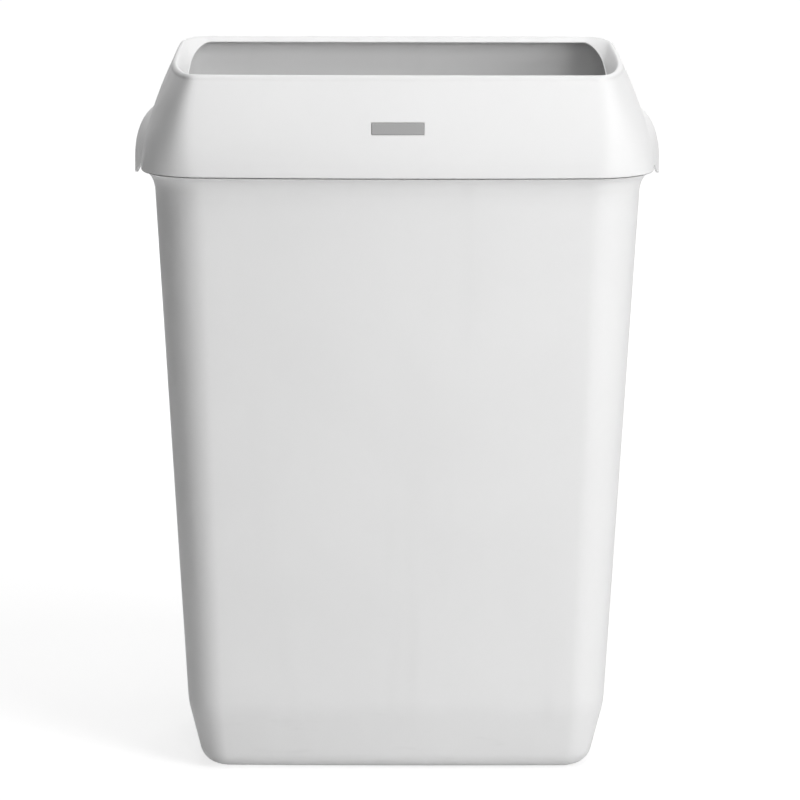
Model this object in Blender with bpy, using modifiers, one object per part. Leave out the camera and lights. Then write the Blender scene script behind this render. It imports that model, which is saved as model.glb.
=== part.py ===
"""A tapered waste bin of about 50 litres for a washroom, with a lift-off lid frame.

Metres, +Z up. The origin is on the floor, under the middle of the bin. The front faces -Y.
Every shell is a loft of plan outlines, from which the small features are cut or to which they are joined.
"""

import math
from dataclasses import dataclass, replace

import bmesh
import bpy

# Overall sizes
LID_HALF_WIDTH = 0.2063
LID_FRONT = -0.144
LID_REAR = 0.144
LEDGE_TOP = 0.4920
SEAT_CLEARANCE = 0.0004
LID_HEIGHT = 0.0794

# The ledge that carries the lid, a little inside the lid's edge
LEDGE_SET_IN = 0.0003
LEDGE_REACH = 0.0098
LEDGE_EDGE = 0.0012
COVE_HEIGHT = 0.0165

# Shape of the body's wall, at the ledge and at the bend above the heel
BODY_TOP_HALF_WIDTH = LID_HALF_WIDTH - LEDGE_SET_IN - LEDGE_REACH
BODY_TOP_FRONT = LID_FRONT + LEDGE_SET_IN + LEDGE_REACH
BODY_TOP_REAR = LID_REAR - LEDGE_SET_IN - LEDGE_REACH
BODY_TOP_CORNER = (0.047, 0.052)
BODY_TOP_REAR_CORNER = (0.040, 0.040)
BODY_TOP_CROWN = 0.0068
BEND_HALF_WIDTH = 0.1697
BEND_FRONT = -0.1140
BEND_REAR = 0.1260
BEND_CORNER = (0.033, 0.037)
BEND_REAR_CORNER = (0.032, 0.032)
BEND_CROWN = 0.0020
BEND_HEIGHT = 0.0530
BEND_REACH = 0.0070
BODY_WALL = 0.0025

# Heel, base and upstand of the body
HEEL_ANGLE = math.radians(14.2)
HEEL_RADIUS = 0.0188
BASE_CORNER = 0.0075
REST_BAND = 0.016
BASE_RECESS = 0.004
RECESS_DRAFT = 0.002
FLOOR_THICKNESS = 0.0028
UPSTAND_HEIGHT = 0.022
LIP_ROUND = 0.0009

# Lid frame
LID_WALL = 0.0024
LID_SIDE_LEAN = 0.0252
LID_FRONT_LEAN = 0.0235
LID_REAR_LEAN = 0.0038
LID_CURVE_POWER = 1.65
LID_CORNER = (0.052, 0.053)
LID_REAR_CORNER = (0.042, 0.045)
LID_CROWN = 0.0068
RIM_CORNER = (0.024, 0.108)
RIM_REAR_CORNER = (0.019, 0.041)
RIM_CROWN = 0.0028
RIM_BEAD = 0.0028
EDGE_ROUND = 0.0006
SIDE_BOW = 0.0140
BOW_CENTRE = -0.028
BOW_REACH = 0.130

# Sloping flange inside the mouth
FLANGE_SIDE_WIDTH = 0.0094
FLANGE_FRONT_WIDTH = 0.0120
FLANGE_REAR_WIDTH = 0.0136
FLANGE_CORNER = (0.024, 0.070)
FLANGE_REAR_CORNER = (0.012, 0.092)
FLANGE_DROP_REAR = 0.0033
FLANGE_DROP_FRONT = 0.0220
FLANGE_EDGE_ROUND = 0.0009
FLANGE_ROOT = 0.0048

# Finger grips in the lid's sides
GRIP_CENTRE_Y = -0.0020
GRIP_REACH = 0.0190
GRIP_HALF_LENGTH = 0.0812
GRIP_RISE = 0.0374
GRIP_SET_IN = 0.0116
GRIP_AXIS_HALF_WIDTH = LID_HALF_WIDTH - GRIP_SET_IN
GRIP_WALL = 0.0025
GRIP_DIP = 0.0140
GRIP_DIP_HALF_LENGTH = 0.060
GRIP_OVERRUN = 0.030
NOTCH_END_GAP = 0.0015
NOTCH_STEP = 0.0004

# Ribs inside the lid that keep it centred on the body's upstand
RIB_THICKNESS = 0.0020
RIB_CLEARANCE = 0.0006
RIB_FOOT = 0.0030
RIB_TOP = 0.042
RIB_FRONT_X = 0.105
RIB_REAR_X = 0.105
RIB_SIDE_FRONT_Y = -0.080
RIB_SIDE_REAR_Y = 0.072

# Plain plate on the lid's front
BADGE_WIDTH = 0.0420
BADGE_HEIGHT = 0.0098
BADGE_THICKNESS = 0.0010
BADGE_ABOVE_EDGE = 0.0390
BADGE_RECESS = 0.0009
BADGE_SIDE_GAP = 0.0003
BADGE_BACK_GAP = 0.0003
BADGE_CORNER = 0.0006

CUT_OVERRUN = 0.020
LEAST_CORNER = 0.004
WELD = 0.00001

# Counts
FRONT_STEPS = 5
CORNER_STEPS = 9
SIDE_STEPS = 6
REAR_STEPS = 4
HEEL_STEPS = 6
BEND_STEPS = 4
FLANGE_STEPS = 4
COVE_STEPS = 6
BEAD_STEPS = 5
LID_LEVELS = 9
WALL_LEVELS = 4
GRIP_SEGMENTS = 40
GRIP_RINGS = 20
OUTLINE_STEPS = 8

COLLECTION = "waste_bin"
CUTTERS = "cutters"

PLASTIC_WHITE = (0.80, 0.80, 0.80, 1.0)
PLATE_GREY = (0.36, 0.36, 0.36, 1.0)
BODY_ROUGHNESS = 0.42
LID_ROUGHNESS = 0.38
PLATE_ROUGHNESS = 0.50
SHARP_ANGLE = math.radians(35.0)


@dataclass(frozen=True)
class Section:
    """A rounded rectangle seen from above, with its own height.

    front and rear are y at the middle. crown is how far the front bulges between its ends, and bow is the
    share of the width that the sides lose towards their ends. tilt is the height gained for each metre
    towards the rear.
    """

    z: float
    half: float
    front: float
    rear: float
    corner: tuple
    rear_corner: tuple
    crown: float = 0.0
    bow: float = 0.0
    tilt: float = 0.0


def mix(a, b, share):
    return a + (b - a) * share


def mix_pair(a, b, share):
    return tuple(mix(p, q, share) for p, q in zip(a, b))


def inset(section, distance, z=None):
    """The section drawn in by a distance all round, or let out where the distance is negative."""

    def smaller(pair):
        return tuple(max(side - distance, LEAST_CORNER) for side in pair)

    return replace(
        section,
        z=section.z if z is None else z,
        half=section.half - distance,
        front=section.front + distance,
        rear=section.rear - distance,
        corner=smaller(section.corner),
        rear_corner=smaller(section.rear_corner),
    )


def warp(section, x, y):
    """Bends a point of the plain rounded rectangle into the crowned front and the bowed sides."""
    depth = section.rear - section.front
    towards_front = (section.rear - y) / depth
    y += section.crown * (x / section.half) ** 2 * towards_front
    x *= 1.0 - section.bow * ((y - BOW_CENTRE) / BOW_REACH) ** 2
    return x, y


def right_half(section):
    """Points from the middle of the front round the right side to the middle of the rear."""
    fx, fy = section.corner
    rx, ry = section.rear_corner
    points = []
    for i in range(FRONT_STEPS):
        points.append(((section.half - fx) * i / FRONT_STEPS, section.front))
    for i in range(CORNER_STEPS):
        angle = math.pi / 2 * i / CORNER_STEPS
        x = section.half - fx + fx * math.sin(angle)
        y = section.front + fy - fy * math.cos(angle)
        points.append((x, y))
    for i in range(SIDE_STEPS):
        points.append((section.half, mix(section.front + fy, section.rear - ry, i / SIDE_STEPS)))
    for i in range(CORNER_STEPS):
        angle = math.pi / 2 * i / CORNER_STEPS
        x = section.half - rx + rx * math.cos(angle)
        y = section.rear - ry + ry * math.sin(angle)
        points.append((x, y))
    for i in range(REAR_STEPS + 1):
        points.append((mix(section.half - rx, 0.0, i / REAR_STEPS), section.rear))
    return [warp(section, x, y) for x, y in points]


def outline(section):
    """The whole outline as 3-D points, anticlockwise from above, from the middle of the front."""
    right = right_half(section)
    left = [(-x, y) for x, y in right[-2:0:-1]]
    return [(x, y, section.z + section.tilt * (y - section.rear)) for x, y in right + left]


def loft_mesh(name, sections, closed):
    """Skins the outlines in order. A closed loft joins its last one to its first, an open one is capped."""
    mesh = bpy.data.meshes.new(name)
    bm = bmesh.new()
    rings = [[bm.verts.new(point) for point in outline(section)] for section in sections]
    count = len(rings[0])
    pairs = list(zip(rings, rings[1:]))
    if closed:
        pairs.append((rings[-1], rings[0]))
    else:
        bm.faces.new(list(reversed(rings[0])))
        bm.faces.new(rings[-1])
    for low, high in pairs:
        for i in range(count):
            j = (i + 1) % count
            bm.faces.new((low[i], low[j], high[j], high[i]))
    bmesh.ops.recalc_face_normals(bm, faces=bm.faces[:])
    bm.to_mesh(mesh)
    bm.free()
    return mesh


def body_wall(z):
    """The outside of the body's wall, from the bend above the heel to the top of the upstand."""
    share = (z - BEND_HEIGHT) / (LEDGE_TOP - BEND_HEIGHT)
    return Section(
        z=z,
        half=mix(BEND_HALF_WIDTH, BODY_TOP_HALF_WIDTH, share),
        front=mix(BEND_FRONT, BODY_TOP_FRONT, share),
        rear=mix(BEND_REAR, BODY_TOP_REAR, share),
        corner=mix_pair(BEND_CORNER, BODY_TOP_CORNER, share),
        rear_corner=mix_pair(BEND_REAR_CORNER, BODY_TOP_REAR_CORNER, share),
        crown=mix(BEND_CROWN, BODY_TOP_CROWN, share),
        bow=SIDE_BOW,
    )


def heel_sections(radius, wall, foot):
    """The rounded heel from its foot up to the bend, drawn in by the wall's thickness."""
    bend = body_wall(BEND_HEIGHT)
    arc_top = foot + radius * (1.0 - math.sin(HEEL_ANGLE))
    lean = (BEND_HEIGHT - arc_top) * math.tan(HEEL_ANGLE)
    full = lean + radius * math.cos(HEEL_ANGLE)
    sections = []
    for i in range(HEEL_STEPS + 1):
        angle = mix(math.pi / 2, HEEL_ANGLE, i / HEEL_STEPS)
        drawn_in = lean + radius * (math.cos(HEEL_ANGLE) - math.cos(angle))
        section = inset(bend, drawn_in + wall, foot + radius * (1.0 - math.sin(angle)))
        share = drawn_in / full
        base = (BASE_CORNER, BASE_CORNER)
        corner = mix_pair(inset(bend, wall).corner, base, share)
        rear_corner = mix_pair(inset(bend, wall).rear_corner, base, share)
        sections.append(replace(section, corner=corner, rear_corner=rear_corner))
    return sections


def bend_curve(start, middle, end, share):
    """A point on the curve that leaves start towards middle and reaches end."""
    return mix(mix(start, middle, share), mix(middle, end, share), share)


def bend_sections():
    """Levels across the soft bend between the heel's lean and the wall."""
    low = inset(body_wall(BEND_HEIGHT), BEND_REACH * math.tan(HEEL_ANGLE), BEND_HEIGHT - BEND_REACH)
    middle = body_wall(BEND_HEIGHT)
    high = body_wall(BEND_HEIGHT + BEND_REACH)
    sections = []
    for i in range(BEND_STEPS + 1):
        share = i / BEND_STEPS
        sections.append(replace(
            high,
            z=bend_curve(low.z, middle.z, high.z, share),
            half=bend_curve(low.half, middle.half, high.half, share),
            front=bend_curve(low.front, middle.front, high.front, share),
            rear=bend_curve(low.rear, middle.rear, high.rear, share),
            corner=mix_pair(low.corner, high.corner, share),
            rear_corner=mix_pair(low.rear_corner, high.rear_corner, share),
            crown=mix(low.crown, high.crown, share),
        ))
    return sections


def wall_sections(wall, low, top):
    """Levels of the straight wall between the two heights given."""
    return [
        inset(body_wall(mix(low, top, i / WALL_LEVELS)), wall)
        for i in range(WALL_LEVELS + 1)
    ]


def cove_start():
    """The height at which the wall starts to curve out to the ledge."""
    return LEDGE_TOP - LEDGE_EDGE - COVE_HEIGHT


def ledge_sections():
    """The hollow curve under the ledge, its thin edge and its flat top."""
    start = cove_start()
    sections = []
    for i in range(1, COVE_STEPS + 1):
        angle = math.pi / 2 * i / COVE_STEPS
        z = start + COVE_HEIGHT * math.sin(angle)
        out = LEDGE_REACH * (1.0 - math.cos(angle))
        sections.append(inset(body_wall(z), -out))
    sections.append(inset(body_wall(LEDGE_TOP), -LEDGE_REACH))
    sections.append(body_wall(LEDGE_TOP))
    return sections


def body_sections():
    """Every outline of the body, up the outside, over the lip and down the inside."""
    outside_heel = heel_sections(HEEL_RADIUS, 0.0, 0.0)
    rest = outside_heel[0]
    under = [
        inset(rest, REST_BAND + RECESS_DRAFT, BASE_RECESS),
        inset(rest, REST_BAND, 0.0),
    ]
    top = LEDGE_TOP + UPSTAND_HEIGHT
    lip = [
        body_wall(top - LIP_ROUND),
        inset(body_wall(top), LIP_ROUND),
        inset(body_wall(top), BODY_WALL - LIP_ROUND),
    ]
    inner_radius = HEEL_RADIUS - BODY_WALL
    inner_floor = BASE_RECESS + FLOOR_THICKNESS
    outside = bend_sections() + wall_sections(0.0, BEND_HEIGHT + BEND_REACH, cove_start())[1:]
    inside = wall_sections(BODY_WALL, BEND_HEIGHT, top - LIP_ROUND)[::-1]
    inside_heel = heel_sections(inner_radius, BODY_WALL, inner_floor)[::-1]
    return under + outside_heel + outside + ledge_sections() + lip + inside + inside_heel


def lid_bottom():
    return LEDGE_TOP + SEAT_CLEARANCE


def lid_top():
    return lid_bottom() + LID_HEIGHT


def lid_wall(z):
    """The outside of the lid's skirt. Below its edge the skirt's plan is held, for the grips to be cut by."""
    share = max((z - lid_bottom()) / LID_HEIGHT, 0.0)
    curve = share**LID_CURVE_POWER
    return Section(
        z=z,
        half=LID_HALF_WIDTH - LID_SIDE_LEAN * curve,
        front=LID_FRONT + LID_FRONT_LEAN * curve,
        rear=LID_REAR - LID_REAR_LEAN * curve,
        corner=mix_pair(LID_CORNER, RIM_CORNER, share),
        rear_corner=mix_pair(LID_REAR_CORNER, RIM_REAR_CORNER, share),
        crown=mix(LID_CROWN, RIM_CROWN, share),
        bow=SIDE_BOW,
    )


def rim_crest():
    """The highest line of the rim."""
    return inset(lid_wall(lid_top() - RIM_BEAD), RIM_BEAD, lid_top())


def flange_edge(drop_extra=0.0):
    """The flange's inner edge round the mouth, whose drop grows towards the front."""
    crest = rim_crest()
    front = crest.front + FLANGE_FRONT_WIDTH
    rear = crest.rear - FLANGE_REAR_WIDTH
    return replace(
        crest,
        z=crest.z - FLANGE_DROP_REAR - drop_extra,
        half=crest.half - FLANGE_SIDE_WIDTH,
        front=front,
        rear=rear,
        corner=FLANGE_CORNER,
        rear_corner=FLANGE_REAR_CORNER,
        tilt=(FLANGE_DROP_FRONT - FLANGE_DROP_REAR) / (rear - front),
    )


def lid_sections():
    """Every outline of the lid frame, up the outside, over the bead, down the flange and down the inside."""
    bottom = lid_bottom()
    top = lid_top()
    sections = [
        inset(lid_wall(bottom), LID_WALL),
        inset(lid_wall(bottom), EDGE_ROUND),
    ]
    bead_start = top - RIM_BEAD
    for i in range(LID_LEVELS):
        z = mix(bottom + EDGE_ROUND, bead_start, i / (LID_LEVELS - 1))
        sections.append(lid_wall(z))
    for i in range(1, BEAD_STEPS + 1):
        angle = math.pi / 2 * i / BEAD_STEPS
        z = bead_start + RIM_BEAD * math.sin(angle)
        sections.append(inset(lid_wall(bead_start), RIM_BEAD * (1.0 - math.cos(angle)), z))
    for i in range(FLANGE_STEPS + 1):
        angle = math.pi * i / FLANGE_STEPS
        edge = flange_edge(FLANGE_EDGE_ROUND * (1.0 - math.cos(angle)))
        sections.append(inset(edge, FLANGE_EDGE_ROUND * (math.sin(angle) - 1.0)))
    for i in range(LID_LEVELS - 1):
        z = mix(top - FLANGE_ROOT, bottom + EDGE_ROUND, i / (LID_LEVELS - 1))
        sections.append(inset(lid_wall(z), LID_WALL))
    return sections


def linked(name, mesh, collection, helper=False):
    obj = bpy.data.objects.new(name, mesh)
    collection.objects.link(obj)
    if helper:
        obj.hide_render = True
        obj.display_type = "WIRE"
    return obj


def boolean(obj, operation, operand):
    modifier = obj.modifiers.new(f"{operation.lower()} {operand.name}", "BOOLEAN")
    modifier.operation = operation
    modifier.solver = "EXACT"
    modifier.object = operand


def flat_outline(name, points, thickness, collection):
    """A closed outline in the XY plane of its own frame, as a plate of the thickness given, made a mesh."""
    curve = bpy.data.curves.new(name, "CURVE")
    curve.dimensions = "2D"
    curve.fill_mode = "BOTH"
    curve.extrude = thickness / 2
    spline = curve.splines.new("POLY")
    spline.points.add(len(points) - 1)
    for point, (x, y) in zip(spline.points, points):
        point.co = (x, y, 0.0, 1.0)
    spline.use_cyclic_u = True
    drawn = bpy.data.objects.new(name, curve)
    collection.objects.link(drawn)
    graph = bpy.context.evaluated_depsgraph_get()
    mesh = bpy.data.meshes.new_from_object(drawn.evaluated_get(graph))
    bpy.data.objects.remove(drawn)
    bm = bmesh.new()
    bm.from_mesh(mesh)
    bmesh.ops.remove_doubles(bm, verts=bm.verts[:], dist=WELD)
    bmesh.ops.recalc_face_normals(bm, faces=bm.faces[:])
    bm.to_mesh(mesh)
    bm.free()
    return mesh


def material(name, colour, roughness):
    made = bpy.data.materials.new(name)
    made.use_nodes = True
    shader = made.node_tree.nodes["Principled BSDF"]
    shader.inputs["Base Color"].default_value = colour
    shader.inputs["Roughness"].default_value = roughness
    shader.inputs["Metallic"].default_value = 0.0
    made.diffuse_color = colour
    return made


def grip_mesh(name, shrink, foot):
    """A pair of upright domes on straight feet, one at each side of the lid."""
    mesh = bpy.data.meshes.new(name)
    bm = bmesh.new()
    for side in (-1.0, 1.0):
        made = bmesh.ops.create_uvsphere(bm, u_segments=GRIP_SEGMENTS, v_segments=GRIP_RINGS, radius=1.0)
        for vert in made["verts"]:
            x, y, z = vert.co
            if z < -WELD:
                reach = math.hypot(x, y)
                spread = 1.0 if z > -1.0 + WELD else 0.0
                if reach > WELD:
                    x, y = x / reach, y / reach
                x, y = x * spread, y * spread
                z *= foot
            else:
                z *= GRIP_RISE - shrink
            vert.co = (
                side * GRIP_AXIS_HALF_WIDTH + x * (GRIP_REACH - shrink),
                GRIP_CENTRE_Y + y * (GRIP_HALF_LENGTH - shrink),
                lid_bottom() + z,
            )
    bmesh.ops.recalc_face_normals(bm, faces=bm.faces[:])
    bm.to_mesh(mesh)
    bm.free()
    return mesh


def dip_points():
    """The outline, as y and z, of what is trimmed away under the grips' curved lower lips."""
    edge = lid_bottom()
    deepest = edge - GRIP_OVERRUN - CUT_OVERRUN
    points = [
        (GRIP_CENTRE_Y + GRIP_HALF_LENGTH + CUT_OVERRUN, deepest),
        (GRIP_CENTRE_Y + GRIP_HALF_LENGTH + CUT_OVERRUN, edge),
    ]
    for i in range(2 * OUTLINE_STEPS + 1):
        along = 1.0 - i / OUTLINE_STEPS
        points.append((GRIP_CENTRE_Y + GRIP_DIP_HALF_LENGTH * along, edge - GRIP_DIP * (1.0 - along**2)))
    points.append((GRIP_CENTRE_Y - GRIP_HALF_LENGTH - CUT_OVERRUN, edge))
    points.append((GRIP_CENTRE_Y - GRIP_HALF_LENGTH - CUT_OVERRUN, deepest))
    return points


def turned_upright(mesh, along_x):
    """Stands a flat plate up: its own y becomes z, and its thickness lies along x or along y."""
    for vert in mesh.vertices:
        a, b, c = vert.co
        vert.co = (c, a, b) if along_x else (a, -c, b)


def rib_profile(wall_at, inner):
    """The outline of a rib, from its clearance to the upstand out into the lid's wall."""
    bottom = lid_bottom() + RIB_FOOT
    top = lid_bottom() + RIB_TOP
    points = [(inner, bottom)]
    for i in range(OUTLINE_STEPS + 1):
        z = mix(bottom, top, i / OUTLINE_STEPS)
        points.append((wall_at(z) - math.copysign(LID_WALL / 2, wall_at(z)), z))
    points.append((inner, mix(bottom, top, 0.5)))
    return points


def make_ribs(collection):
    """The centring ribs: two at the front, two at the rear and two in each side."""
    upstand = body_wall(LEDGE_TOP + UPSTAND_HEIGHT)
    bm = bmesh.new()

    def add(mesh, shift):
        for vert in mesh.vertices:
            vert.co = (vert.co.x + shift[0], vert.co.y + shift[1], vert.co.z)
        bm.from_mesh(mesh)

    for side in (-1.0, 1.0):
        x = side * RIB_FRONT_X
        inner = upstand.front + upstand.crown * (x / upstand.half) ** 2 - RIB_CLEARANCE
        points = rib_profile(lambda z: warp(lid_wall(z), x, lid_wall(z).front)[1], inner)
        mesh = flat_outline("front rib", points, RIB_THICKNESS, collection)
        turned_upright(mesh, True)
        add(mesh, (x, 0.0))
        x = side * RIB_REAR_X
        points = rib_profile(lambda z: lid_wall(z).rear, upstand.rear + RIB_CLEARANCE)
        mesh = flat_outline("rear rib", points, RIB_THICKNESS, collection)
        turned_upright(mesh, True)
        add(mesh, (x, 0.0))
        for y in (RIB_SIDE_FRONT_Y, RIB_SIDE_REAR_Y):
            inner = side * (warp(upstand, upstand.half, y)[0] + RIB_CLEARANCE)
            points = rib_profile(lambda z: side * warp(lid_wall(z), lid_wall(z).half, y)[0], inner)
            mesh = flat_outline("side rib", points, RIB_THICKNESS, collection)
            turned_upright(mesh, False)
            add(mesh, (0.0, y))
    bmesh.ops.recalc_face_normals(bm, faces=bm.faces[:])
    ribs = bpy.data.meshes.new("ribs")
    bm.to_mesh(ribs)
    bm.free()
    return linked("ribs", ribs, collection, helper=True)


def block(name, size, collection):
    """A box of the size given, as a helper to cut with."""
    mesh = bpy.data.meshes.new(name)
    bm = bmesh.new()
    bmesh.ops.create_cube(bm, size=1.0)
    bmesh.ops.scale(bm, vec=size, verts=bm.verts[:])
    bm.to_mesh(mesh)
    bm.free()
    return linked(name, mesh, collection, helper=True)


def make_body(parts, cutters):
    body = linked("bin_body", loft_mesh("bin_body", body_sections(), closed=False), parts)
    ledge = body_wall(LEDGE_TOP)
    height = LEDGE_EDGE + COVE_HEIGHT + CUT_OVERRUN
    for side, word in ((-1.0, "left"), (1.0, "right")):
        size = (CUT_OVERRUN, 2 * (GRIP_DIP_HALF_LENGTH + NOTCH_END_GAP), height)
        notch = block(f"{word} finger notch", size, cutters)
        notch.location = (
            side * (ledge.half + NOTCH_STEP + CUT_OVERRUN / 2),
            GRIP_CENTRE_Y,
            LEDGE_TOP + CUT_OVERRUN / 2 - height / 2,
        )
        boolean(body, "DIFFERENCE", notch)
    return body


def make_lid(parts, cutters):
    lid = linked("lid_frame", loft_mesh("lid_frame", lid_sections(), closed=True), parts)
    low = lid_bottom() - GRIP_OVERRUN - 2 * CUT_OVERRUN
    core_levels = [low] + [mix(lid_bottom(), lid_top(), i / LID_LEVELS) for i in range(LID_LEVELS + 1)]
    core_mesh = loft_mesh("lid core", [inset(lid_wall(z), LID_WALL / 2) for z in core_levels], closed=False)
    core = linked("lid core", core_mesh, cutters, helper=True)
    grips = linked("grips", grip_mesh("grips", 0.0, GRIP_OVERRUN), cutters, helper=True)
    trim_mesh = flat_outline("grip trim", dip_points(), 2 * (LID_HALF_WIDTH + GRIP_REACH), cutters)
    turned_upright(trim_mesh, True)
    trim = linked("grip trim", trim_mesh, cutters, helper=True)
    boolean(grips, "DIFFERENCE", core)
    boolean(grips, "DIFFERENCE", trim)
    scoop_mesh = grip_mesh("scoops", GRIP_WALL, GRIP_OVERRUN + CUT_OVERRUN)
    scoops = linked("scoops", scoop_mesh, cutters, helper=True)
    boolean(lid, "UNION", grips)
    boolean(lid, "DIFFERENCE", scoops)
    boolean(lid, "UNION", make_ribs(cutters))
    return lid


def badge_frame():
    """Where the plate's middle lies on the lid's front, and how far the front leans there."""
    z = lid_bottom() + BADGE_ABOVE_EDGE
    low = lid_wall(z - BADGE_HEIGHT / 2)
    high = lid_wall(z + BADGE_HEIGHT / 2)
    lean = math.atan2(high.front - low.front, BADGE_HEIGHT)
    return (0.0, (low.front + high.front) / 2, z), -lean


def make_badge(parts, cutters, lid):
    place, lean = badge_frame()
    size = (
        BADGE_WIDTH + 2 * BADGE_SIDE_GAP,
        2 * BADGE_RECESS,
        BADGE_HEIGHT + 2 * BADGE_SIDE_GAP,
    )
    pocket = block("badge pocket", size, cutters)
    pocket.location = place
    pocket.rotation_euler = (lean, 0.0, 0.0)
    boolean(lid, "DIFFERENCE", pocket)

    mesh = bpy.data.meshes.new("badge_plate")
    bm = bmesh.new()
    bmesh.ops.create_cube(bm, size=1.0)
    bmesh.ops.scale(bm, vec=(BADGE_WIDTH, BADGE_THICKNESS, BADGE_HEIGHT), verts=bm.verts[:])
    inward = BADGE_RECESS - BADGE_BACK_GAP - BADGE_THICKNESS / 2
    bmesh.ops.translate(bm, vec=(0.0, inward, 0.0), verts=bm.verts[:])
    bm.to_mesh(mesh)
    bm.free()
    badge = linked("badge_plate", mesh, parts)
    badge.location = place
    badge.rotation_euler = (lean, 0.0, 0.0)
    bevel = badge.modifiers.new("worn corners", "BEVEL")
    bevel.width = BADGE_CORNER
    bevel.segments = 2
    bevel.limit_method = "NONE"
    bevel.use_clamp_overlap = True
    return badge


def main():
    for obj in list(bpy.data.objects):
        bpy.data.objects.remove(obj)
    parts = bpy.data.collections.new(COLLECTION)
    cutters = bpy.data.collections.new(CUTTERS)
    bpy.context.scene.collection.children.link(parts)
    bpy.context.scene.collection.children.link(cutters)

    body = make_body(parts, cutters)
    lid = make_lid(parts, cutters)
    badge = make_badge(parts, cutters, lid)

    white = material("white moulded plastic", PLASTIC_WHITE, BODY_ROUGHNESS)
    lid_white = material("white moulded lid plastic", PLASTIC_WHITE, LID_ROUGHNESS)
    grey = material("grey plate", PLATE_GREY, PLATE_ROUGHNESS)
    for obj, finish in ((body, white), (lid, lid_white), (badge, grey)):
        obj.data.materials.append(finish)
    for obj in (body, lid):
        obj.data.shade_smooth()
        obj.data.set_sharp_from_angle(angle=SHARP_ANGLE)


main()
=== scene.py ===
import math
from dataclasses import dataclass, replace

import bmesh
import bpy
from mathutils import Matrix, Vector


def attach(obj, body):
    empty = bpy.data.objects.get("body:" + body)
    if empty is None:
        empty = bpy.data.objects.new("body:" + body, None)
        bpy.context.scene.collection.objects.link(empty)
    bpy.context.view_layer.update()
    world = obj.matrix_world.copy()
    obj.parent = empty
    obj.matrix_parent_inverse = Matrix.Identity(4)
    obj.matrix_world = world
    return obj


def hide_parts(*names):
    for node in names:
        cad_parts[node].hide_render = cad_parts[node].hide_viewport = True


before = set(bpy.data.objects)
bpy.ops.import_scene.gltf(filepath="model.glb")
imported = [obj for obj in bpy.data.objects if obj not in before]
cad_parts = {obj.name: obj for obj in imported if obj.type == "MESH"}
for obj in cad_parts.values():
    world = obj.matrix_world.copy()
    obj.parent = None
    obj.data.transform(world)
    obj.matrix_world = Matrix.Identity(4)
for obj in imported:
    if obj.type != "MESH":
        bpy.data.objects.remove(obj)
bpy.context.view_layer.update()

# The photograph's frame is 800 pixels square. Lengths are in metres, and only the sensor's width is
# in millimetres
IMAGE_PIXELS = 800
CAMERA_DISTANCE = 5.0
CAMERA_AZIMUTH = math.radians(-0.26)
CAMERA_ELEVATION = math.radians(10.385)
CAMERA_ROLL = math.radians(0.153)
CAMERA_TARGET = Vector((0.0, 0.0, 0.290))
PIXELS_PER_METRE = 1215.0
TARGET_PIXEL = (396.4, 396.95)
SENSOR_WIDTH = 36.0
CLIP_END = 100.0

# Soft square lights round the bin: azimuth from the front to the right and elevation in degrees,
# power in watts, and the side of the square
LIGHT_DISTANCE = 3.2
STUDIO_LIGHTS = (
    (0, 84, 32.0, 1.6),
    (40, 12, 23.0, 1.6),
    (40, 12, 21.0, 0.7),
    (30, 58, 16.5, 0.7),
    (45, 34, 11.0, 0.7),
    (0, 25, 7.8, 0.7),
    (30, 34, 8.5, 0.7),
    (150, 25, 5.0, 1.6),
    (180, 45, 28.0, 1.6),
)
AMBIENT = 0.005

# The floor reaches out of sight. The camera sees it lifted towards white, and fully white from
# LIFT_END metres outwards, so that the shadow stays near the bin
FLOOR_REACH = 40.0
FLOOR_DROP = 0.0005
FLOOR_COLOUR = (0.80, 0.80, 0.80, 1.0)
SEEN_FLOOR_COLOUR = (0.35, 0.35, 0.35, 1.0)
FLOOR_LIFT_NEAR = 0.78
FLOOR_LIFT_FAR = 1.0
LIFT_START = 0.5
LIFT_END = 2.5

# Colours
WHITE = (1.0, 1.0, 1.0, 1.0)
PLASTIC_WHITE = (0.80, 0.80, 0.80, 1.0)
PLATE_GREY = (0.36, 0.36, 0.36, 1.0)
SCUFF_GREY = (0.55, 0.55, 0.54, 1.0)

# Textures of the plastics. A range is the part of the noise that is spread over the whole effect
PLASTIC_IOR = 1.49
PLASTIC_SPECULAR = 0.20
CLOUD_SCALE = 9.0
CLOUD_DETAIL = 4.0
CLOUD_RANGE = (0.3, 0.7)
FLOW_SCALE = 30.0
FLOW_DETAIL = 2.0
FLOW_STRETCH = (1.0, 1.0, 0.12)
FLOW_RANGE = (0.55, 0.8)
FLOW_DARKENING = 2.0
SCUFF_SCALE = 55.0
SCUFF_DETAIL = 6.0
SCUFF_STRETCH = (0.35, 0.35, 1.6)
SCUFF_RANGE = (0.58, 0.78)
SHEEN_SCALE = 60.0
SHEEN_DETAIL = 3.0
SHEEN_RANGE = (0.3, 0.7)
SHEEN_CHANGE = 0.05
GRAIN_DETAIL = 2.0
GRAIN_STRENGTH = 0.5
FULL_RANGE = (0.0, 1.0)

# Sockets of the colour mixing node, which share their names with others
MIX_FIRST = 6
MIX_SECOND = 7
MIX_RESULT = 2


@dataclass(frozen=True)
class Finish:
    """How a moulded plastic looks.

    grain is the scale of its fine grain, and grain_depth the depth of that in metres. mottling is
    the share by which its cloudy tone is darkened. scuffing is the strength of the scuffs at the
    height scuff_full and below, and there are none above scuff_none.
    """

    colour: tuple
    roughness: float
    grain: float
    grain_depth: float
    mottling: float
    scuff_full: float
    scuff_none: float
    scuffing: float


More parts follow.
